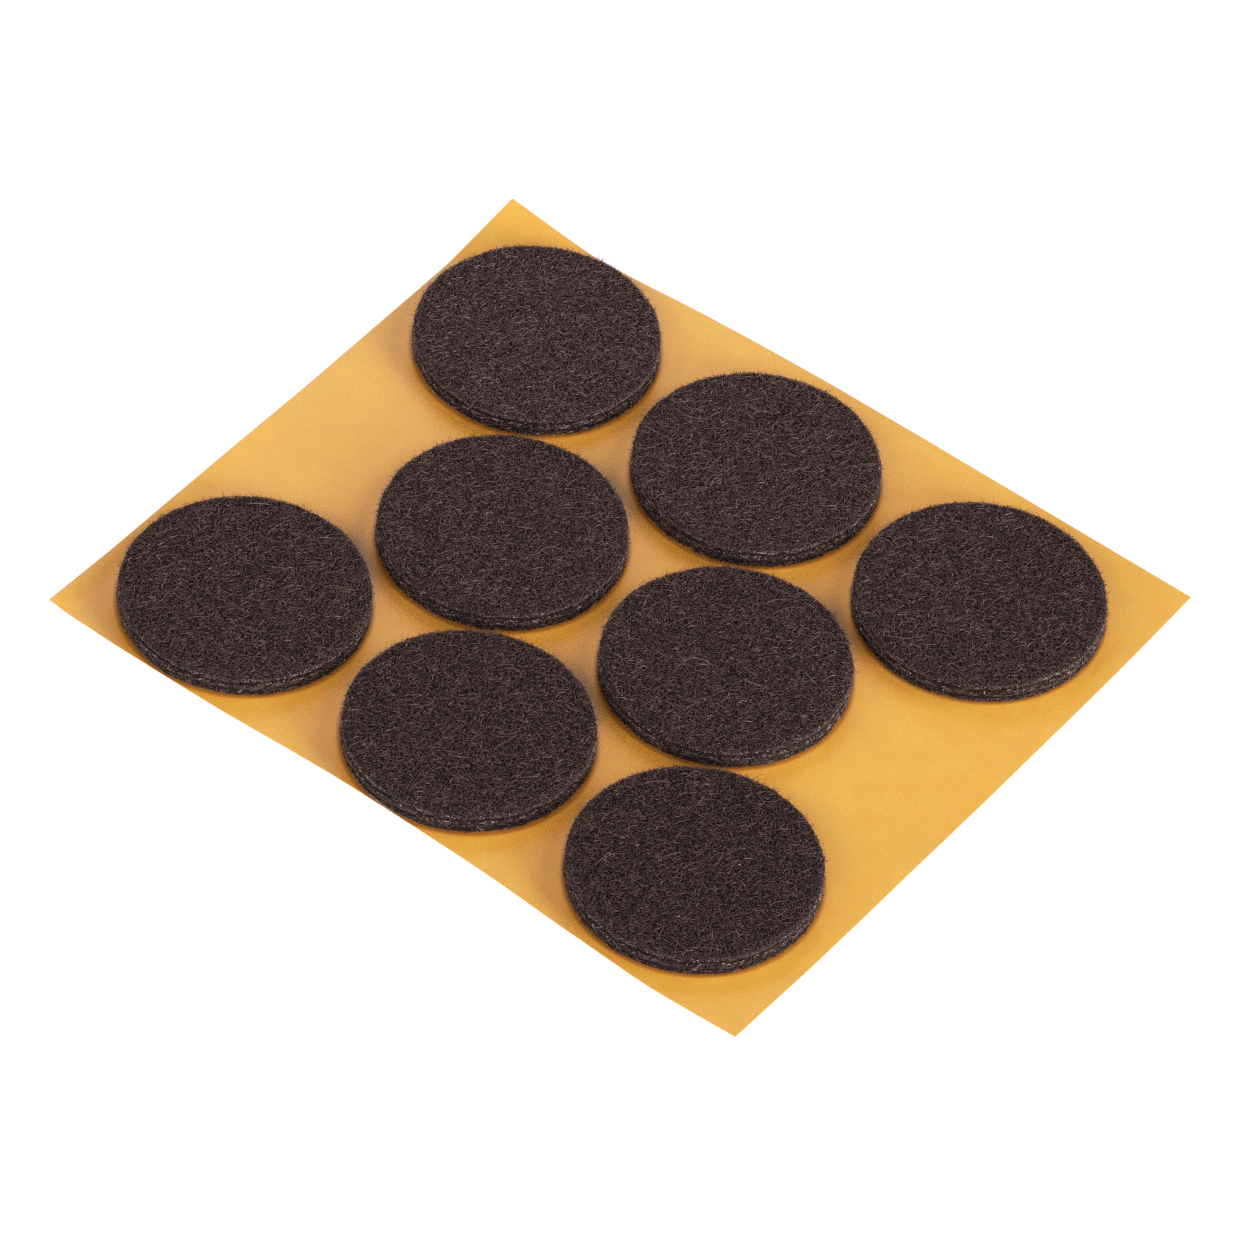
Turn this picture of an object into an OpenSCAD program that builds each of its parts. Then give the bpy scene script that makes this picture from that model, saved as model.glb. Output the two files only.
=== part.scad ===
// Round self-adhesive felt glides on a sheet of release paper.
// The sheet lies flat; the pads stand on it in three staggered rows, and each
// pad is a felt disc on its own disc of adhesive. Any pad peels off the sheet.
//
// Millimetres. Origin: middle of the sheet's outline, on its underside.
// +Z up through the pads, +X along the rows, +Y towards the rear edge.

/* [Backing sheet] */
// Length of the sheet along the rows, at its widest
sheet_w = 96; // [94:0.1:120]
// Depth of the sheet across the rows, at its deepest
sheet_d = 86.4; // [86:0.1:110]
// Thickness of the release paper
sheet_t = 0.1; // [0.06:0.01:0.3]
// How far the hand cut wanders: 1 as found, 0 a true rectangle
cut_wander = 1; // [0:0.1:1]

/* [Felt pads] */
// Diameter of each felt disc
pad_d = 28; // [20:0.5:30]
// Thickness of the felt
felt_t = 2.75; // [1.5:0.05:6]
// Rounding of the felt's upper rim
rim_r = 0.5; // [0.1:0.05:0.6]
// Rounding of the felt's lower edge
foot_r = 0.2; // [0.05:0.05:0.4]

/* [Adhesive discs] */
// Thickness of the adhesive under each pad
adhesive_t = 0.15; // [0.05:0.01:0.3]
// How far the adhesive stops short of the felt's side
adhesive_inset = 0.1; // [0.05:0.05:1]

/* [Layout] */
// Spacing of the pads along a row
pitch = 31.1; // [30:0.1:33]
// Spacing of the rows
row_pitch = 26.5; // [25.5:0.1:27]
// How far the layout lies from the sheet's middle, towards the right edge
layout_x = -0.65; // [-1.2:0.05:1.2]
// How far the layout lies from the sheet's middle, towards the rear edge
layout_y = -0.9; // [-1.2:0.05:1.2]

/* [Hidden] */
$fn = 96;
pad_r = pad_d / 2;
adhesive_r = pad_r - adhesive_inset;
adhesive_z = sheet_t;
felt_z = sheet_t + adhesive_t;

// Pad centres: a full row at the rear, a row half a pitch over, a full row in front
PAD_XY = concat(
    [for (c = [-1 : 1]) [layout_x + c * pitch, layout_y + row_pitch]],
    [for (c = [-0.5 : 1 : 0.5]) [layout_x + c * pitch, layout_y]],
    [for (c = [-1 : 1]) [layout_x + c * pitch, layout_y - row_pitch]]
);

// Release paper, cut by hand: the rear edge falls away at its left end, the
// front edge is hollow in the middle and the left edge a little hollow too
module backing_sheet() {
    w = sheet_w / 2;
    d = sheet_d / 2;
    k = cut_wander;
    color("#e3a242")
        linear_extrude(height = sheet_t)
            polygon([
                [-w + 0.2 * k, d - 1.35 * k],
                [-0.68 * w, d - 1.3 * k],
                [-0.4 * w, d - 0.5 * k],
                [-0.2 * w, d - 0.15 * k],
                [0, d],
                [0.64 * w, d - 0.25 * k],
                [w - 0.45 * k, d - 0.65 * k],
                [w - 0.2 * k, 0.68 * d],
                [w, 0],
                [w - 0.1 * k, -d],
                [0.76 * w, -d + 0.05 * k],
                [0.5 * w, -d + 0.75 * k],
                [0.24 * w, -d + 1.55 * k],
                [-0.16 * w, -d + 2 * k],
                [-0.5 * w, -d + 1.55 * k],
                [-w, -d + 1.6 * k],
                [-w + 0.35 * k, 0.16 * d]
            ]);
}

// Pressure-sensitive adhesive under pad i
module adhesive_disc(i) {
    color("#8f6335")
        translate([PAD_XY[i][0], PAD_XY[i][1], adhesive_z])
            cylinder(r = adhesive_r, h = adhesive_t);
}

// Half section of a felt disc: a flat top, a rounded upper rim, a straight
// side and a small rounding at the foot
module felt_section() {
    square([pad_r - rim_r, felt_t]);
    square([pad_r - foot_r, felt_t - rim_r]);
    translate([0, foot_r]) square([pad_r, felt_t - rim_r - foot_r]);
    translate([pad_r - rim_r, felt_t - rim_r]) circle(r = rim_r);
    translate([pad_r - foot_r, foot_r]) circle(r = foot_r);
}

// Needle-felt disc i
module felt_pad(i) {
    color("#41332f")
        translate([PAD_XY[i][0], PAD_XY[i][1], felt_z])
            rotate_extrude() felt_section();
}

backing_sheet();
adhesive_disc(0);  // adhesive_disc_1
adhesive_disc(1);  // adhesive_disc_2
adhesive_disc(2);  // adhesive_disc_3
adhesive_disc(3);  // adhesive_disc_4
adhesive_disc(4);  // adhesive_disc_5
adhesive_disc(5);  // adhesive_disc_6
adhesive_disc(6);  // adhesive_disc_7
adhesive_disc(7);  // adhesive_disc_8
felt_pad(0);  // felt_pad_1
felt_pad(1);  // felt_pad_2
felt_pad(2);  // felt_pad_3
felt_pad(3);  // felt_pad_4
felt_pad(4);  // felt_pad_5
felt_pad(5);  // felt_pad_6
felt_pad(6);  // felt_pad_7
felt_pad(7);  // felt_pad_8
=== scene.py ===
import math

import bpy
import numpy as np
from mathutils import Matrix, Vector


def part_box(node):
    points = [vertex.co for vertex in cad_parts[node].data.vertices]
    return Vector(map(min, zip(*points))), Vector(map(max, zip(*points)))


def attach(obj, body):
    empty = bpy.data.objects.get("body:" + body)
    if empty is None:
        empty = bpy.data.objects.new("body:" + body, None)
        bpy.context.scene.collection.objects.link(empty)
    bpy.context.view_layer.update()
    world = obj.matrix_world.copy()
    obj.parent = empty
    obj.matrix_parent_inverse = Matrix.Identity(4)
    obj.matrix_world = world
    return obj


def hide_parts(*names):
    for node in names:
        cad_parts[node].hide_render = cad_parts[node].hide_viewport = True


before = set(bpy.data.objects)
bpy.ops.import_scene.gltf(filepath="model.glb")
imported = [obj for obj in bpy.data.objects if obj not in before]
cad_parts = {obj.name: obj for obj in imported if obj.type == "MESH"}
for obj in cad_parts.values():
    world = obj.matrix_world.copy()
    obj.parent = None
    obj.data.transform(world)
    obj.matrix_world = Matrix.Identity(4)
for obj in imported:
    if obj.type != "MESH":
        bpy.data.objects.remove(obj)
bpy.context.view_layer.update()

MM = 0.001
PADS = range(1, 9)


# ---------------------------------------------------------------- small helpers

def smoothstep(a, b, x):
    t = np.clip((x - a) / (b - a), 0.0, 1.0)
    return t * t * (3 - 2 * t)


class Waves:
    """Smooth seeded noise in the plane: a sum of sine waves of about the given wavelength, of unit spread."""

    def __init__(self, seed, wavelength, n=14):
        rng = np.random.default_rng(seed)
        a = rng.uniform(0, 2 * math.pi, n)
        k = 2 * math.pi / wavelength * rng.uniform(0.6, 1.6, n)
        self.kx, self.ky = k * np.cos(a), k * np.sin(a)
        self.ph = rng.uniform(0, 2 * math.pi, n)
        self.n = n

    def __call__(self, x, y):
        x, y = np.asarray(x, float), np.asarray(y, float)
        out = np.zeros(np.broadcast(x, y).shape)
        for kx, ky, ph in zip(self.kx, self.ky, self.ph):
            out += np.sin(kx * x + ky * y + ph)
        return out * math.sqrt(2.0 / self.n)


def build_mesh(name, verts_mm, tris, quads, smooth=True):
    """A mesh object from arrays of points in millimetres, triangles and quads."""
    verts = np.asarray(verts_mm, np.float64) * MM
    tris = np.asarray(tris, np.int32).reshape(-1, 3)
    quads = np.asarray(quads, np.int32).reshape(-1, 4)
    me = bpy.data.meshes.new(name)
    me.vertices.add(len(verts))
    me.vertices.foreach_set("co", verts.astype(np.float32).ravel())
    loops = np.concatenate([tris.ravel(), quads.ravel()])
    me.loops.add(len(loops))
    me.loops.foreach_set("vertex_index", loops)
    starts = np.concatenate([np.arange(len(tris)) * 3, len(tris) * 3 + np.arange(len(quads)) * 4]).astype(np.int32)
    me.polygons.add(len(starts))
    me.polygons.foreach_set("loop_start", starts)
    me.polygons.foreach_set("use_smooth", np.full(len(starts), smooth, bool))
    me.update(calc_edges=True)
    me.validate()
    ob = bpy.data.objects.new(name, me)
    bpy.context.scene.collection.objects.link(ob)
    return ob


def vertex_uv(ob, uv, name="OFBake"):
    me = ob.data
    layer = me.uv_layers.new(name=name)
    idx = np.empty(len(me.loops), np.int32)
    me.loops.foreach_get("vertex_index", idx)
    layer.data.foreach_set("uv", np.asarray(uv, np.float32)[idx].ravel())


def vertex_value(ob, name, values):
    a = ob.data.attributes.new(name, "FLOAT", "POINT")
    a.data.foreach_set("value", np.asarray(values, np.float32))


def sharp_edges(ob, marked):
    """Marks as sharp the edges whose two ends are both in the marked vertices of one ring."""
    me = ob.data
    ends = np.empty(len(me.edges) * 2, np.int32)
    me.edges.foreach_get("vertices", ends)
    ends = ends.reshape(-1, 2)
    a = me.attributes.new("sharp_edge", "BOOLEAN", "EDGE")
    a.data.foreach_set("value", marked[ends[:, 0]] & marked[ends[:, 1]])


# ---------------------------------------------------------------- materials

def new_material(name):
    m = bpy.data.materials.new(name)
    m.use_nodes = True
    nt = m.node_tree
    for n in list(nt.nodes):
        nt.nodes.remove(n)
    out = nt.nodes.new("ShaderNodeOutputMaterial")
    bsdf = nt.nodes.new("ShaderNodeBsdfPrincipled")
    nt.links.new(bsdf.outputs[0], out.inputs[0])
    return m, nt, bsdf


def add(nt, kind, **values):
    n = nt.nodes.new(kind)
    for k, v in values.items():
        if k in n.inputs:
            n.inputs[k].default_value = v
        else:
            setattr(n, k, v)
    return n


def ramp(nt, stops):
    n = nt.nodes.new("ShaderNodeValToRGB")
    e = n.color_ramp.elements
    while len(e) > 1:
        e.remove(e[-1])
    e[0].position, e[0].color = stops[0][0], (*stops[0][1], 1)
    for pos, col in stops[1:]:
        s = e.new(pos)
        s.color = (*col, 1)
    return n


def math_node(nt, op, a, b=None, clamp=False):
    n = nt.nodes.new("ShaderNodeMath")
    n.operation = op
    n.use_clamp = clamp
    for i, v in enumerate((a, b)):
        if v is None:
            continue
        if isinstance(v, (int, float)):
            n.inputs[i].default_value = v
        else:
            nt.links.new(v, n.inputs[i])
    return n.outputs[0]


FIBRE_STOPS = [
    (0.00, (0.006, 0.0025, 0.0022)),
    (0.25, (0.033, 0.0159, 0.0141)),
    (0.50, (0.084, 0.0434, 0.0390)),
    (0.75, (0.136, 0.0764, 0.0696)),
    (0.93, (0.207, 0.1310, 0.1220)),
    # the palest stop is reached mostly by the rim specks: a painted highlight colour
    (1.00, (0.480, 0.3750, 0.3560)),
]


def fibre_material():
    m, nt, bsdf = new_material("felt_fibre")
    tone = add(nt, "ShaderNodeAttribute", attribute_name="fibre_tone")
    col = ramp(nt, FIBRE_STOPS)
    nt.links.new(tone.outputs["Fac"], col.inputs[0])
    nt.links.new(col.outputs[0], bsdf.inputs["Base Color"])
    bsdf.inputs["Roughness"].default_value = 0.42
    bsdf.inputs["Specular IOR Level"].default_value = 0.42
    return m


def core_shade_material():
    m, nt, bsdf = new_material("felt_body")
    co = add(nt, "ShaderNodeTexCoord")
    fine = add(nt, "ShaderNodeTexNoise", Scale=9000.0, Detail=3.0, Roughness=0.6)
    nt.links.new(co.outputs["Object"], fine.inputs["Vector"])
    broad = add(nt, "ShaderNodeTexNoise", Scale=420.0, Detail=2.0, Roughness=0.5)
    nt.links.new(co.outputs["Object"], broad.inputs["Vector"])
    both = math_node(nt, "ADD", math_node(nt, "MULTIPLY", fine.outputs[0], 0.7), math_node(nt, "MULTIPLY", broad.outputs[0], 0.3))
    # coloured near black, darker than almost all the fibres: painted shade for the gaps between the fibres over it
    col = ramp(nt, [(0.30, (0.004, 0.0022, 0.0020)), (0.55, (0.011, 0.0062, 0.0057)), (0.75, (0.028, 0.0160, 0.0147))])
    nt.links.new(both, col.inputs[0])
    nt.links.new(col.outputs[0], bsdf.inputs["Base Color"])
    bump = add(nt, "ShaderNodeBump", Strength=0.8, Distance=0.00006)
    nt.links.new(fine.outputs[0], bump.inputs["Height"])
    nt.links.new(bump.outputs[0], bsdf.inputs["Normal"])
    bsdf.inputs["Roughness"].default_value = 0.9
    bsdf.inputs["Specular IOR Level"].default_value = 0.15
    return m


def paper_material(centres, radius):
    m, nt, bsdf = new_material("amber_paper")
    co = add(nt, "ShaderNodeTexCoord")
    obj = co.outputs["Object"]
    cloud = add(nt, "ShaderNodeTexNoise", Scale=300.0, Detail=4.0, Roughness=0.62)
    nt.links.new(obj, cloud.inputs["Vector"])
    grain = add(nt, "ShaderNodeTexNoise", Scale=5200.0, Detail=2.0, Roughness=0.7)
    nt.links.new(obj, grain.inputs["Vector"])
    mixv = math_node(nt, "ADD", math_node(nt, "MULTIPLY", cloud.outputs[0], 0.40), math_node(nt, "MULTIPLY", grain.outputs[0], 0.60))
    col = ramp(nt, [(0.22, (0.685, 0.265, 0.0320)), (0.50, (0.780, 0.320, 0.0430)), (0.78, (0.875, 0.380, 0.0560))])
    nt.links.new(mixv, col.inputs[0])
    # dark ring around each pad: partly the line where its outline was cut into the paper and a little adhesive crept
    # out, mostly painted contact shadow reaching up to 0.7 mm out from the pad's outline
    nearest = None
    flat = add(nt, "ShaderNodeVectorMath", operation="MULTIPLY")
    nt.links.new(obj, flat.inputs[0])
    flat.inputs[1].default_value = (1, 1, 0)
    for x, y in centres:
        d = add(nt, "ShaderNodeVectorMath", operation="DISTANCE")
        nt.links.new(flat.outputs[0], d.inputs[0])
        d.inputs[1].default_value = (x, y, 0)
        nearest = d.outputs["Value"] if nearest is None else math_node(nt, "MINIMUM", nearest, d.outputs["Value"])
    out = add(nt, "ShaderNodeMapRange", interpolation_type="SMOOTHSTEP")
    nt.links.new(nearest, out.inputs["Value"])
    out.inputs["From Min"].default_value, out.inputs["From Max"].default_value = radius + 0.00015, radius + 0.00070
    out.inputs["To Min"].default_value, out.inputs["To Max"].default_value = 1.0, 0.0
    inner = add(nt, "ShaderNodeMapRange", interpolation_type="SMOOTHSTEP")
    nt.links.new(nearest, inner.inputs["Value"])
    inner.inputs["From Min"].default_value, inner.inputs["From Max"].default_value = radius - 0.00040, radius - 0.00005
    ring = math_node(nt, "MULTIPLY", out.outputs[0], inner.outputs[0])
    # painted contact shadow: the ring multiplies the paper colour up to 0.74 of the way towards dark red-brown
    dark = add(nt, "ShaderNodeMix", data_type="RGBA", blend_type="MULTIPLY")
    nt.links.new(math_node(nt, "MULTIPLY", ring, 0.74), dark.inputs[0])
    nt.links.new(col.outputs[0], dark.inputs[6])
    dark.inputs[7].default_value = (0.34, 0.24, 0.16, 1)
    nt.links.new(dark.outputs[2], bsdf.inputs["Base Color"])
    rough = add(nt, "ShaderNodeMapRange")
    rough.inputs["From Min"].default_value, rough.inputs["From Max"].default_value = 0.3, 0.7
    rough.inputs["To Min"].default_value, rough.inputs["To Max"].default_value = 0.36, 0.45
    nt.links.new(mixv, rough.inputs["Value"])
    nt.links.new(rough.outputs[0], bsdf.inputs["Roughness"])
    bump = add(nt, "ShaderNodeBump", Strength=0.25, Distance=0.00002)
    nt.links.new(math_node(nt, "SUBTRACT", mixv, math_node(nt, "MULTIPLY", ring, 0.6)), bump.inputs["Height"])
    nt.links.new(bump.outputs[0], bsdf.inputs["Normal"])
    bsdf.inputs["Specular IOR Level"].default_value = 0.38
    return m


def adhesive_material():
    m, nt, bsdf = new_material("pad_adhesive")
    co = add(nt, "ShaderNodeTexCoord")
    n1 = add(nt, "ShaderNodeTexNoise", Scale=700.0, Detail=3.0, Roughness=0.55)
    nt.links.new(co.outputs["Object"], n1.inputs["Vector"])
    col = ramp(nt, [(0.35, (0.20, 0.085, 0.022)), (0.65, (0.34, 0.165, 0.050))])
    nt.links.new(n1.outputs[0], col.inputs[0])
    nt.links.new(col.outputs[0], bsdf.inputs["Base Color"])
    rough = add(nt, "ShaderNodeMapRange")
    rough.inputs["To Min"].default_value, rough.inputs["To Max"].default_value = 0.16, 0.34
    nt.links.new(n1.outputs[0], rough.inputs["Value"])
    nt.links.new(rough.outputs[0], bsdf.inputs["Roughness"])
    bump = add(nt, "ShaderNodeBump", Strength=0.5, Distance=0.00004)
    nt.links.new(n1.outputs[0], bump.inputs["Height"])
    nt.links.new(bump.outputs[0], bsdf.inputs["Normal"])
    return m


# ---------------------------------------------------------------- felt

RIM = 0.45        # rounding of the upper rim
CORE = -0.27      # how deep the solid body lies under the fibres


# how far a pad was laid off the regular grid, in x and y, and how much larger its radius is
LAID = {3: (0.02, -0.10, 0.15), 4: (0.08, -0.12, 0.0), 5: (0.10, -0.16, 0.0), 7: (0.13, 0.10, -0.06), 8: (0.06, -0.10, 0.04)}


class Felt:
    """One pad's surface. rho runs from the middle over the rim and down the side, phi around, h out along the normal; all in millimetres."""

    def __init__(self, i):
        lo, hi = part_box(f"felt_pad_{i}")
        self.i = i
        off_x, off_y, off_r = LAID.get(i, (0.0, 0.0, 0.0))
        self.cx, self.cy = (lo.x + hi.x) / 2 / MM + off_x, (lo.y + hi.y) / 2 / MM + off_y
        self.z0, self.z1 = lo.z / MM, hi.z / MM
        self.R = (hi.x - lo.x) / 2 / MM + 0.02 + off_r
        self.top = self.z1 - 0.02
        self.rho1 = self.R - RIM
        self.rho2 = self.rho1 + RIM * math.pi / 2
        self.rho3 = self.rho2 + (self.top - RIM) - self.z0
        self.rng = np.random.default_rng(1000 + 37 * i)
        s = 5000 + 100 * i
        self.broad, self.mid = Waves(s, 9.0), Waves(s + 1, 2.6)
        self.edge, self.edge2 = Waves(s + 2, 6.0), Waves(s + 3, 1.6)
        self.g1, self.g1d = Waves(s + 4, 9.0), Waves(s + 5, 5.0)
        self.g2, self.g2d = Waves(s + 6, 8.0), Waves(s + 7, 6.0)
        self.mottle = Waves(s + 8, 5.0)
        # painted light falloff: the rear left pads are made a little paler and the front right ones darker, standing in
        # for the light that falls off from the back left
        self.shade = 0.0375 * (self.cy / 27.0 - self.cx / 31.75)

    def painted_edge_shading(self, rho, phi):
        """Painted light and shade on the fibres' tone: a little paler just below the rounded rim (painted highlight),
        darker on the rim's rounding, in the partings between the layers and towards the foot (painted shade).
        """
        rim = 0.04 * np.exp(-(((rho - self.rho2 - 0.20) / 0.25) ** 2)) - 0.10 * np.exp(-(((rho - self.rho2 + 0.28) / 0.25) ** 2)) - 0.04 * smoothstep(self.rho3 - 0.5, self.rho3 - 0.1, rho)
        z = self.top - RIM - (rho - self.rho2)
        return rim - 1.25 * self.groove(z, phi) * (rho > self.rho2)

    def partings(self, phi):
        """Heights and depths of the two uneven partings between the needled layers."""
        x, y = 14 * np.cos(phi), 14 * np.sin(phi)
        t = self.top - self.z0
        za = self.z0 + t * (0.635 + 0.026 * self.g1(x, y))
        da = np.clip(0.42 + 0.10 * self.g1d(x, y), 0.20, 0.60)
        zb = self.z0 + t * (0.25 + 0.026 * self.g2(x, y))
        db = np.clip(0.24 + 0.12 * self.g2d(x, y), 0, 0.42)
        return za, da, zb, db

    def groove(self, z, phi):
        za, da, zb, db = self.partings(phi)
        return da * np.exp(-(((z - za) / 0.15) ** 2)) + db * np.exp(-(((z - zb) / 0.11) ** 2))

    def point(self, rho, phi, h):
        """Points and unit normals in the row frame, in millimetres."""
        rho, phi, h = np.broadcast_arrays(rho, phi, h)
        cx, sx = np.cos(phi), np.sin(phi)
        a = np.clip((rho - self.rho1) / RIM, 0, math.pi / 2)
        down = np.maximum(rho - self.rho2, 0)
        on_top = np.minimum(rho, self.rho1)
        x, y = on_top * cx, on_top * sx
        lump = 0.028 * self.broad(x, y) + 0.022 * self.mid(x, y)
        ex, ey = 14 * cx, 14 * sx
        side = smoothstep(0.0, 1.2, a)
        wob = (0.035 * self.edge(ex, ey) + 0.022 * self.edge2(ex, ey)) * side
        rad = on_top + (RIM + h) * np.sin(a) + wob
        z = self.top - RIM + (RIM + h) * np.cos(a) - down + lump * (1 - smoothstep(0.6, 1.5, a))
        # the cut leaves the side a little wider at its foot
        flare = 0.10 * np.clip((self.top - 0.5 - z) / (self.top - 0.5 - self.z0), 0, 1)
        rad = rad + (flare - self.groove(z, phi)) * smoothstep(0.9, 1.5, a)
        p = np.stack([self.cx + rad * cx, self.cy + rad * sx, np.maximum(z, self.z0 + 0.005)], -1)
        n = np.stack([np.sin(a) * cx, np.sin(a) * sx, np.cos(a)], -1)
        return p, n


def felt_core(f, mat):
    """The closed body under the fibres: crowned top, rounded rim, parted side, flat underside."""
    seg = 224
    phi = np.arange(seg) * 2 * math.pi / seg
    rho = np.concatenate([
        np.linspace(0.35, f.rho1, 38, endpoint=False),
        np.linspace(f.rho1, f.rho2, 10, endpoint=False),
        np.linspace(f.rho2, f.rho3, 30),
    ])
    depth = np.full(len(rho), CORE) + 0.10 * smoothstep(f.rho1, f.rho2, rho)
    rings, _ = f.point(rho[:, None], phi[None, :], depth[:, None])
    n = len(rho)
    centre, _ = f.point(np.zeros(1), np.zeros(1), np.full(1, CORE))
    low = rings[-1].copy()
    low[:, 2] = f.z0
    inner = low.copy()
    inner[:, :2] = (low[:, :2] - [f.cx, f.cy]) * 0.5 + [f.cx, f.cy]
    verts = np.concatenate([centre, rings.reshape(-1, 3), low, inner, [[f.cx, f.cy, f.z0]]])
    a = np.arange(seg)
    b = (a + 1) % seg
    quads = []
    for k in range(n + 1):
        r0, r1 = 1 + k * seg, 1 + (k + 1) * seg
        quads.append(np.stack([r0 + a, r1 + a, r1 + b, r0 + b], -1))
    last = 1 + (n + 2) * seg
    tris = np.concatenate([
        np.stack([np.zeros(seg, int), 1 + a, 1 + b], -1),
        np.stack([np.full(seg, last), last - seg + b, last - seg + a], -1),
    ])
    ob = build_mesh(f"felt_body_{f.i}", verts, tris, np.concatenate(quads))
    ob.data.materials.append(mat)
    return ob


CELLS = 16  # the colour map is a grid of this many cells a side, one tone each


class Strands:
    """Collects thin three-sided closed strands."""

    def __init__(self):
        self.v, self.t, self.q, self.uv, self.tone = [], [], [], [], []
        self.count = 0

    def add(self, path, normal, radius, tone):
        """path (N, S, 3): first and last points are tips. normal (N, S, 3) turns the section. radius (N,), tone (N,) from 0 to 1."""
        N, S, _ = path.shape
        K = S - 2
        tan = path[:, 2:] - path[:, :-2]
        tan /= np.linalg.norm(tan, axis=-1, keepdims=True) + 1e-12
        nn = normal[:, 1:-1]
        side = np.cross(tan, nn)
        side /= np.linalg.norm(side, axis=-1, keepdims=True) + 1e-12
        up = np.cross(side, tan)
        taper = np.ones(K)
        if K > 2:
            taper[0] = taper[-1] = 0.85
        r = radius[:, None, None] * taper[None, :, None]
        ring = []
        for k in range(3):
            w = math.radians(90 + 120 * k)
            ring.append(path[:, 1:-1] + r * (math.sin(w) * up + math.cos(w) * side))
        ring = np.stack(ring, 2)                        # N, K, 3, 3
        verts = np.concatenate([path[:, :1], ring.reshape(N, K * 3, 3), path[:, -1:]], 1)
        nv = 3 * K + 2
        base = self.count + np.arange(N)[:, None] * nv
        tri, quad = [], []
        for k in range(3):
            k2 = (k + 1) % 3
            tri.append([0, 1 + k, 1 + k2])
            e = 1 + 3 * (K - 1)
            tri.append([nv - 1, e + k2, e + k])
            for j in range(K - 1):
                o = 1 + 3 * j
                quad.append([o + k, o + 3 + k, o + 3 + k2, o + k2])
        self.t.append((base[:, :, None] + np.array(tri)[None]).reshape(-1, 3))
        if quad:
            self.q.append((base[:, :, None] + np.array(quad)[None]).reshape(-1, 4))
        cell = np.clip((tone * CELLS * CELLS).astype(int), 0, CELLS * CELLS - 1)
        tone = (cell + 0.5) / (CELLS * CELLS)
        u = np.concatenate([[0.1], np.repeat(0.1 + 0.8 * (np.arange(K) + 1) / (K + 1), 3), [0.9]])
        w = np.concatenate([[0.5], np.tile([0.15, 0.5, 0.85], K), [0.5]])
        uv = np.stack([(cell[:, None] % CELLS + u[None]) / CELLS, (cell[:, None] // CELLS + w[None]) / CELLS], -1)
        self.v.append(verts.reshape(-1, 3))
        self.uv.append(uv.reshape(-1, 2))
        self.tone.append(np.repeat(tone, nv))
        self.count += N * nv

    def build(self, name, mat):
        q = np.concatenate(self.q) if self.q else np.zeros((0, 4), int)
        ob = build_mesh(name, np.concatenate(self.v), np.concatenate(self.t), q)
        vertex_uv(ob, np.concatenate(self.uv))
        vertex_value(ob, "fibre_tone", np.concatenate(self.tone))
        ob.data.materials.append(mat)
        return ob


def lying_fibres(f, s, rho, phi, theta, length, k0, k1, h0, dip, radius, tone, S=5):
    """Fibres that lie in the mat: plane curves on the unrolled surface, set at height h0 and dipping at their ends."""
    N = len(rho)
    t = np.linspace(-0.5, 0.5, S)[None] * length[:, None]
    tm = (t[:, 1:] + t[:, :-1]) / 2
    head = theta[:, None] + k0[:, None] * tm + k1[:, None] * tm * np.abs(tm)
    step = (t[:, 1:] - t[:, :-1])
    dx, dy = step * np.cos(head), step * np.sin(head)
    x = np.concatenate([np.zeros((N, 1)), np.cumsum(dx, 1)], 1)
    y = np.concatenate([np.zeros((N, 1)), np.cumsum(dy, 1)], 1)
    x += (rho * np.cos(phi))[:, None] - x.mean(1, keepdims=True)
    y += (rho * np.sin(phi))[:, None] - y.mean(1, keepdims=True)
    r2, p2 = np.hypot(x, y), np.arctan2(y, x)
    keep = (r2.max(1) < f.rho3 - 0.03) & (r2.min(1) > 0.02)
    arch = (2 * t / length[:, None]) ** 2
    h = h0[:, None] - dip[:, None] * arch
    p, n = f.point(r2[keep], p2[keep], h[keep])
    s.add(p, n, radius[keep], tone[keep])


def spread(rng, radius, pitch):
    """Points over a disc, evenly spread: one at a random place in each cell of a grid."""
    g = np.arange(-radius, radius, pitch)
    x, y = np.meshgrid(g, g)
    x, y = x.ravel() + rng.uniform(0, pitch, x.size), y.ravel() + rng.uniform(0, pitch, y.size)
    keep = np.hypot(x, y) < radius
    order = rng.permutation(int(keep.sum()))
    return x[keep][order], y[keep][order]


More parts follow.
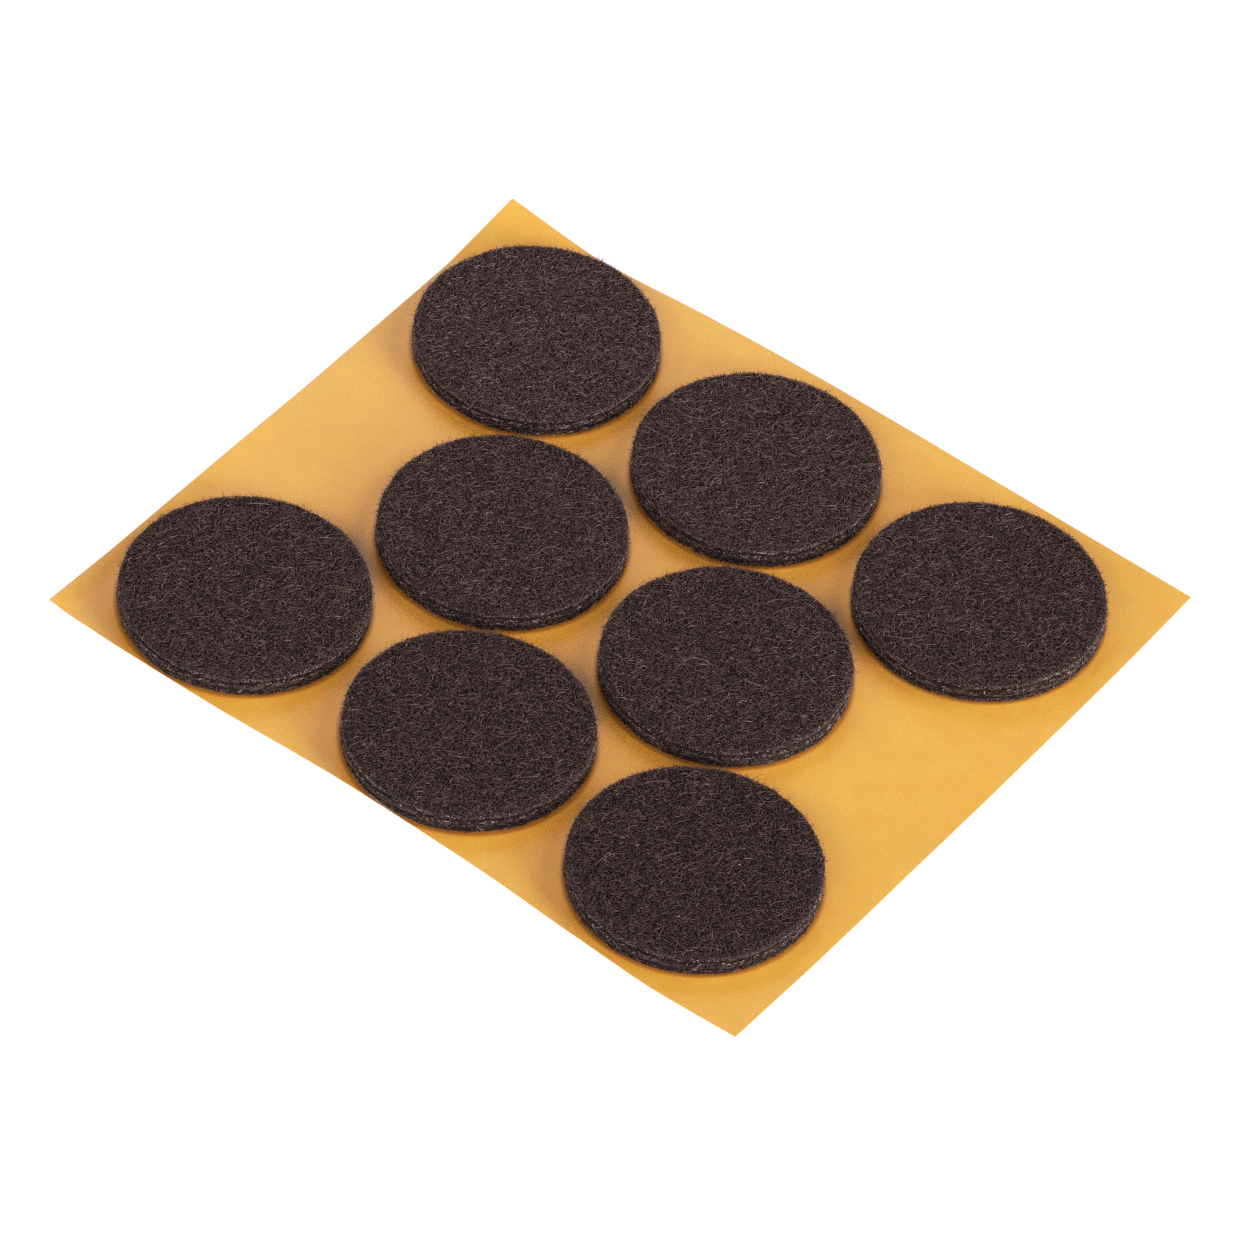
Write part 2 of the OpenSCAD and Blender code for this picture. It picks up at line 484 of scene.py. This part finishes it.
def felt_top(f, mat):
    """The mat of short fibres over the top and the rim."""
    rng = f.rng
    s = Strands()
    x, y = spread(rng, f.rho2 + 0.1, 0.206)
    N = len(x)
    rho, phi = np.hypot(x, y), np.arctan2(y, x)
    theta = rng.uniform(0, 2 * math.pi, N)
    length = np.clip(rng.lognormal(math.log(0.76), 0.38, N), 0.34, 2.2)
    k0, k1 = rng.normal(0, 0.25, N), rng.normal(0, 0.2, N)
    level = rng.uniform(0, 1, N)
    h0 = -0.24 + 0.24 * level
    dip = rng.uniform(0.01, 0.08, N)
    radius = rng.uniform(0.024, 0.038, N)
    # fibres lying lower in the mat are made darker: painted shade deeper in the mat
    tone = 0.445 + f.shade + 0.21 * rng.normal(0, 1, N) + 0.18 * (level - 0.5) + 0.012 * f.mottle(x, y) + f.painted_edge_shading(rho, phi)
    lying_fibres(f, s, rho, phi, theta, length, k0, k1, h0, dip, radius, np.clip(tone, 0.01, 0.94), S=4)

    # a few long pale fibres on top of it
    N = 70
    rho = np.sqrt(rng.uniform(0, 1, N)) * f.rho1
    phi = rng.uniform(0, 2 * math.pi, N)
    theta = rng.uniform(0, 2 * math.pi, N)
    length = rng.uniform(1.6, 3.8, N)
    lying_fibres(f, s, rho, phi, theta, length, rng.normal(0, 0.25, N), rng.normal(0, 0.12, N), rng.uniform(-0.02, 0.05, N), rng.uniform(0.05, 0.15, N),
                 rng.uniform(0.022, 0.032, N), np.clip(0.62 + 0.12 * rng.normal(0, 1, N), 0.3, 0.99), S=7)

    # loose ends over the top
    loose_hairs(f, s, 420, 0.0, f.rho1, 0.2, 0.45, 0.46)
    return s.build(f"felt_top_{f.i}", mat)


def loose_hairs(f, s, N, lo, hi, l0, l1, tone):
    rng = f.rng
    rho = np.sqrt(rng.uniform(lo * lo, hi * hi, N))
    phi = rng.uniform(0, 2 * math.pi, N)
    p0, n0 = f.point(rho, phi, np.full(N, -0.08))
    d = n0 * rng.uniform(0.3, 1.0, N)[:, None] + 0.75 * rng.normal(0, 1, (N, 3))
    flip = np.sign(np.sum(d * n0, 1))
    d = d * np.where(flip == 0, 1, flip)[:, None]
    d /= np.linalg.norm(d, axis=1, keepdims=True)
    c = rng.normal(0, 0.45, (N, 3))
    length = rng.uniform(l0, l1, N)
    t = np.linspace(0, 1, 4)
    path = p0[:, None] + length[:, None, None] * (d[:, None] * t[None, :, None] + c[:, None] * (t ** 2)[None, :, None])
    path[..., 2] = np.maximum(path[..., 2], f.z0 - 0.11)
    nn = np.repeat(np.cross(d, rng.normal(0, 1, (N, 3)))[:, None], 4, 1)
    s.add(path, nn, rng.uniform(0.018, 0.030, N), np.clip(tone + 0.2 * rng.normal(0, 1, N), 0.02, 0.99))


def felt_side(f, mat):
    """The cut side: fibres that run around it in layers, and the ends the cut left standing out."""
    rng = f.rng
    s = Strands()
    N = 2000
    rho = rng.uniform(f.rho2 - 0.2, f.rho3, N)
    phi = rng.uniform(0, 2 * math.pi, N)
    theta = phi + math.pi / 2 + rng.normal(0, 0.25, N)
    length = np.clip(rng.lognormal(math.log(0.75), 0.4, N), 0.35, 1.8)
    k0, k1 = rng.normal(0, 0.3, N) + 1.0 / rho, rng.normal(0, 0.3, N)
    h0 = -0.14 + 0.14 * rng.uniform(0, 1, N)
    tone = np.clip(0.50 + f.shade + 0.22 * rng.normal(0, 1, N) + f.painted_edge_shading(rho, phi), 0.01, 0.99)
    lying_fibres(f, s, rho, phi, theta, length, k0, k1, h0, rng.uniform(0.01, 0.06, N), rng.uniform(0.028, 0.042, N), tone)

    N = 9500
    rho = rng.uniform(f.rho2 - 0.25, f.rho3, N)
    phi = rng.uniform(0, 2 * math.pi, N)
    z = f.top - RIM - (rho - f.rho2)
    keep = rng.uniform(0, 1, N) > 3.4 * np.clip(f.groove(z, phi) - 0.06, 0, 1) * (rho > f.rho2)
    rho, phi = rho[keep], phi[keep]
    N = len(rho)
    p0, n0 = f.point(rho, phi, np.full(N, -0.13))
    d = n0 + 0.45 * rng.normal(0, 1, (N, 3))
    d /= np.linalg.norm(d, axis=1, keepdims=True)
    length = rng.uniform(0.09, 0.24, N)
    t = np.array([0.0, 0.72, 1.0])
    path = p0[:, None] + d[:, None] * (length[:, None] * t)[..., None]
    path[..., 2] = np.maximum(path[..., 2], f.z0 - 0.10)
    nn = np.repeat(np.cross(d, rng.normal(0, 1, (N, 3)))[:, None], 3, 1)
    s.add(path, nn, rng.uniform(0.030, 0.050, N), np.clip(0.56 + f.shade + 0.24 * rng.normal(0, 1, N) + f.painted_edge_shading(rho, phi), 0.01, 0.94))

    # painted highlights: very pale short fibres along the rim and on the lip of the layer under it, standing in for
    # glints of light on the cut fibres
    N = 260
    phi = rng.uniform(0, 2 * math.pi, N)
    za = f.partings(phi)[0]
    lip = f.rho2 + (f.top - RIM) - (za - 0.30)
    rho = np.where(rng.uniform(0, 1, N) < 0.55, f.rho2 + 0.10 + 0.12 * rng.normal(0, 1, N), lip + 0.10 * rng.normal(0, 1, N))
    p0, n0 = f.point(rho, phi, np.full(N, -0.04))
    around = np.stack([-np.sin(phi), np.cos(phi), np.zeros(N)], -1)
    d = around * rng.choice([-1, 1], N)[:, None] + 0.35 * n0 + 0.3 * rng.normal(0, 1, (N, 3))
    d /= np.linalg.norm(d, axis=1, keepdims=True)
    t = np.array([-0.5, -0.2, 0.2, 0.5])
    path = p0[:, None] + d[:, None] * (rng.uniform(0.14, 0.42, N)[:, None] * t)[..., None] + 0.03 * n0[:, None] * (1 - (2 * t) ** 2)[None, :, None]
    nn = np.repeat(n0[:, None], 4, 1)
    s.add(path, nn, rng.uniform(0.026, 0.044, N), np.clip(0.97 + 0.03 * rng.normal(0, 1, N), 0.8, 0.99))

    loose_hairs(f, s, 1500, f.rho1 - 0.2, f.rho2 + 0.2, 0.18, 0.56, 0.34)
    loose_hairs(f, s, 500, f.rho3 - 0.5, f.rho3, 0.12, 0.28, 0.30)
    return s.build(f"felt_side_{f.i}", mat)


# ---------------------------------------------------------------- adhesive

def adhesive_film(i, mat):
    """A thin film with an edge that isn't quite even."""
    lo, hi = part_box(f"adhesive_disc_{i}")
    cx, cy = (lo.x + hi.x) / 2 / MM, (lo.y + hi.y) / 2 / MM
    R, z0, z1 = (hi.x - lo.x) / 2 / MM, lo.z / MM, hi.z / MM
    wob, dim = Waves(9000 + i, 2.4), Waves(9100 + i, 1.7)
    seg = 160
    phi = np.arange(seg) * 2 * math.pi / seg
    edge = R - 0.08 + 0.03 * wob(R * np.cos(phi), R * np.sin(phi))
    fr = np.array([0.12, 0.3, 0.5, 0.68, 0.83, 0.93, 0.985, 1.0])
    rows = []
    for side in (1, -1):
        order = fr if side == 1 else fr[::-1]
        for q in order:
            x, y = q * edge * np.cos(phi), q * edge * np.sin(phi)
            round_off = 0.03 if q == 1.0 else 0.0
            z = (z1 - round_off) if side == 1 else (z0 + round_off + 0.008 + 0.006 * dim(x, y))
            rows.append(np.stack([cx + x, cy + y, np.broadcast_to(z, x.shape)], -1))
    rings = np.stack(rows)
    n = len(rings)
    verts = np.concatenate([[[cx, cy, z1]], rings.reshape(-1, 3), [[cx, cy, z0 + 0.008]]])
    a = np.arange(seg)
    b = (a + 1) % seg
    quads = np.concatenate([np.stack([1 + k * seg + a, 1 + (k + 1) * seg + a, 1 + (k + 1) * seg + b, 1 + k * seg + b], -1) for k in range(n - 1)])
    last = 1 + n * seg
    tris = np.concatenate([
        np.stack([np.zeros(seg, int), 1 + a, 1 + b], -1),
        np.stack([np.full(seg, last), last - seg + b, last - seg + a], -1),
    ])
    ob = build_mesh(f"adhesive_film_{i}", verts, tris, quads)
    ob.data.materials.append(mat)
    return ob


# ---------------------------------------------------------------- release paper

def smooth_line(points, n):
    """n + 1 points, evenly spaced, on a smooth curve through the given ones."""
    p = np.asarray(points, float)
    if len(p) < 3:
        p = np.array([p[0], p.mean(0), p[-1]])
    s = np.concatenate([[0], np.cumsum(np.linalg.norm(np.diff(p, axis=0), axis=1))])
    slope = np.empty_like(p)
    slope[1:-1] = (p[2:] - p[:-2]) / (s[2:] - s[:-2])[:, None]
    slope[0], slope[-1] = (p[1] - p[0]) / (s[1] - s[0]), (p[-1] - p[-2]) / (s[-1] - s[-2])

    def at(q):
        k = np.clip(np.searchsorted(s, q, side="right") - 1, 0, len(s) - 2)
        h = (s[k + 1] - s[k])[:, None]
        t = ((q - s[k]) / (s[k + 1] - s[k]))[:, None]
        return ((2 * t ** 3 - 3 * t ** 2 + 1) * p[k] + (t ** 3 - 2 * t ** 2 + t) * h * slope[k]
                + (3 * t ** 2 - 2 * t ** 3) * p[k + 1] + (t ** 3 - t ** 2) * h * slope[k + 1])

    return at(np.linspace(0, s[-1], n + 1))


def paper_sheet(pads, mat):
    """The sheet at rest: cut by hand along smooth wandering lines, held flat under the pads, its corners lifting a little."""
    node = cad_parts["backing_sheet"]
    co = np.array([v.co for v in node.data.vertices], float) / MM
    lo, hi = co.min(0), co.max(0)
    flat_pts = np.unique(co[co[:, 2] < (lo[2] + hi[2]) / 2][:, :2].round(4), axis=0)
    order = np.argsort(np.arctan2(flat_pts[:, 1], flat_pts[:, 0]))
    ring = flat_pts[order]

    def corner(sx, sy):
        return int(np.argmax(ring[:, 0] * sx + ring[:, 1] * sy))

    def run(a, b):
        k = [a]
        while k[-1] != b:
            k.append((k[-1] + 1) % len(ring))
        return ring[k]

    fl, fr, rr, rl = corner(-1, -1), corner(1, -1), corner(1, 1), corner(-1, 1)
    nx, ny = 230, 208
    front, right = smooth_line(run(fl, fr), nx), smooth_line(run(fr, rr), ny)
    rear, left = smooth_line(run(rr, rl), nx)[::-1], smooth_line(run(rl, fl), ny)[::-1]
    u, v = np.linspace(0, 1, nx + 1)[:, None, None], np.linspace(0, 1, ny + 1)[None, :, None]
    P = ((1 - v) * front[:, None] + v * rear[:, None] + (1 - u) * left[None] + u * right[None]
         - ((1 - u) * (1 - v) * front[0] + u * (1 - v) * front[-1] + (1 - u) * v * rear[0] + u * v * rear[-1]))
    x, y = P[..., 0], P[..., 1]

    d = np.full(x.shape, 1e9)
    for f in pads:
        d = np.minimum(d, np.hypot(x - f.cx, y - f.cy) - 14.0)
    hold = smoothstep(0.0, 4.0, d)
    lift = 0.03 * np.clip(1 + 0.6 * Waves(77, 17.0)(x, y), 0, None) * hold
    lift = lift + 0.25 * smoothstep(-45.0, -48.0, x) * smoothstep(8.0, -12.0, y)
    for f, k, amount in ((pads[0], rl, 1.55), (pads[2], rr, 0.32), (pads[5], fl, 0.40), (pads[7], fr, 0.52)):
        way = ring[k] - [f.cx, f.cy]
        reach = np.linalg.norm(way)
        t = np.clip(((x - f.cx) * way[0] + (y - f.cy) * way[1]) / reach - 14.0, 0, None)
        bend = lambda q: np.sqrt(q * q + 1.0) - 1.0
        lift = lift + amount * bend(t) / bend(reach - 14.0)
    thick = hi[2] - lo[2]
    top = np.stack([x, y, lo[2] + thick + lift], -1)
    bot = np.stack([x, y, lo[2] + lift], -1)
    n = (nx + 1) * (ny + 1)
    verts = np.concatenate([top.reshape(-1, 3), bot.reshape(-1, 3)])
    idx = np.arange(n).reshape(nx + 1, ny + 1)
    a, b, c, e = idx[:-1, :-1].ravel(), idx[1:, :-1].ravel(), idx[1:, 1:].ravel(), idx[:-1, 1:].ravel()
    quads = [np.stack([a, b, c, e], -1), np.stack([a + n, e + n, c + n, b + n], -1)]
    rim = np.concatenate([idx[:-1, 0], idx[-1, :-1], idx[::-1, -1][:-1], idx[0, ::-1][:-1]])
    nxt = np.roll(rim, -1)
    quads.append(np.stack([rim + n, nxt + n, nxt, rim], -1))
    ob = build_mesh("release_paper_sheet", verts, np.zeros((0, 3), int), np.concatenate(quads))
    marked = np.zeros(2 * n, bool)
    marked[rim] = marked[rim + n] = True
    sharp_edges(ob, marked)
    # one part of the map for the face, a smaller one for the underside
    uv = np.stack([(x - lo[0]) / (hi[0] - lo[0]), (y - lo[1]) / (hi[1] - lo[1])], -1).reshape(-1, 2)
    uv = np.clip(uv, 0.0, 1.0)
    vertex_uv(ob, np.concatenate([uv * [0.98, 0.64] + [0.01, 0.01], uv * [0.48, 0.31] + [0.01, 0.67]]))
    ob.data.materials.append(mat)
    return ob, float(np.abs(np.sum(ring[:, 0] * np.roll(ring[:, 1], -1) - ring[:, 1] * np.roll(ring[:, 0], -1))) / 2), hi[:2] - lo[:2]


# ---------------------------------------------------------------- camera

cam_data = bpy.data.cameras.new("photo_camera")
cam_data.sensor_width = 36.0
cam_data.lens = 288.0
cam_data.clip_start, cam_data.clip_end = 0.05, 20.0
cam = bpy.data.objects.new("photo_camera", cam_data)
bpy.context.scene.collection.objects.link(cam)
cam_right = Vector((0.79481, 0.60265, 0.07135))
cam_up = Vector((-0.47699, 0.54769, 0.68740))
cam_back = Vector((0.37518, -0.58039, 0.72277))
place = Vector((0.41744, -0.64477, 0.80019))
cam.matrix_world = Matrix.Translation(place) @ Matrix((cam_right, cam_up, cam_back)).transposed().to_4x4()
bpy.context.scene.camera = cam


# ---------------------------------------------------------------- the object

felt_pads = [Felt(i) for i in PADS]
fibre_mat, core_shade_mat, glue_mat = fibre_material(), core_shade_material(), adhesive_material()
paper_mat = paper_material([(f.cx * MM, f.cy * MM) for f in felt_pads], 14.0 * MM)

paper, paper_area, paper_size = paper_sheet(felt_pads, paper_mat)
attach(paper, "sheet")
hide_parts("backing_sheet")

for f in felt_pads:
    core = felt_core(f, core_shade_mat)
    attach(core, f"pad_{f.i}")
    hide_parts(f"felt_pad_{f.i}")
    for hairs in (felt_top(f, fibre_mat), felt_side(f, fibre_mat)):
        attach(hairs, f"pad_{f.i}")
    film = adhesive_film(f.i, glue_mat)
    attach(film, f"pad_{f.i}")
    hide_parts(f"adhesive_disc_{f.i}")


# ---------------------------------------------------------------- floor, light

# a round floor whose far edge curves up a little, so that no horizon shows
turn = np.arange(96) * 2 * math.pi / 96
profile = [(2400, -0.05), (2520, 4), (2640, 18), (2740, 48), (2820, 100), (2870, 170), (2890, 260)]
floor_verts = np.concatenate([[[0, 0, -0.05]]] + [np.stack([r * np.cos(turn), r * np.sin(turn), np.full(96, z)], -1) for r, z in profile])
k0 = np.arange(96)
k1 = (k0 + 1) % 96
floor_tris = np.stack([np.zeros(96, int), 1 + k0, 1 + k1], -1)
floor_quads = np.concatenate([np.stack([1 + 96 * j + k0, 97 + 96 * j + k0, 97 + 96 * j + k1, 1 + 96 * j + k1], -1) for j in range(len(profile) - 1)])
floor = build_mesh("floor", floor_verts, floor_tris, floor_quads)
fm, fnt, fb = new_material("floor_white")
fb.inputs["Base Color"].default_value = (0.36, 0.36, 0.36, 1)
fb.inputs["Roughness"].default_value = 0.9
fb.inputs["Specular IOR Level"].default_value = 0.1
fb.inputs["Emission Color"].default_value = (1, 1, 1, 1)
fb.inputs["Emission Strength"].default_value = 1.08
fm.cycles.emission_sampling = "NONE"
floor.data.materials.append(fm)

world = bpy.data.worlds.new("studio")
bpy.context.scene.world = world
world.use_nodes = True
bg = world.node_tree.nodes["Background"]
bg.inputs[0].default_value = (1.0, 1.0, 1.0, 1)
bg.inputs[1].default_value = 0.08


def softbox(name, azimuth, elevation, distance, size, watts):
    """A round soft light aimed at the middle of the sheet. Azimuth 0 is behind it, 90 at its right."""
    az, el = math.radians(azimuth), math.radians(elevation)
    where = Vector((math.sin(az) * math.cos(el), math.cos(az) * math.cos(el), math.sin(el))) * distance
    d = bpy.data.lights.new(name, "AREA")
    d.shape = "DISK"
    d.size = size
    d.energy = watts
    o = bpy.data.objects.new(name, d)
    bpy.context.scene.collection.objects.link(o)
    o.location = where
    o.rotation_euler = (-where).to_track_quat("-Z", "Y").to_euler()


softbox("key", 50, 34, 1.2, 0.85, 11.3)
softbox("low_side", 92, 13, 1.2, 0.50, 19.8)
softbox("fill", 213, 28, 1.2, 0.90, 7.6)
softbox("front", 158, 32, 1.2, 0.70, 7.6)
softbox("back", 319, 36, 0.36, 0.20, 0.36)

bpy.context.scene.view_settings.view_transform = "Standard"
bpy.context.scene.view_settings.look = "None"
bpy.context.scene.view_settings.exposure = 0.0
bpy.context.scene.view_settings.gamma = 1.0
# highlights held back a little, as a camera does
bpy.context.scene.view_settings.use_curve_mapping = True
curve = bpy.context.scene.view_settings.curve_mapping
curve.use_clip = False
line = curve.curves[3]
line.points[0].location = (0.0, 0.0)
line.points[1].location = (1.36, 1.0)
for x, y in ((0.25, 0.25), (0.42, 0.42), (0.60, 0.575), (0.90, 0.755)):
    line.points.new(x, y)
curve.update()

bpy.context.scene.cycles.use_denoising = False
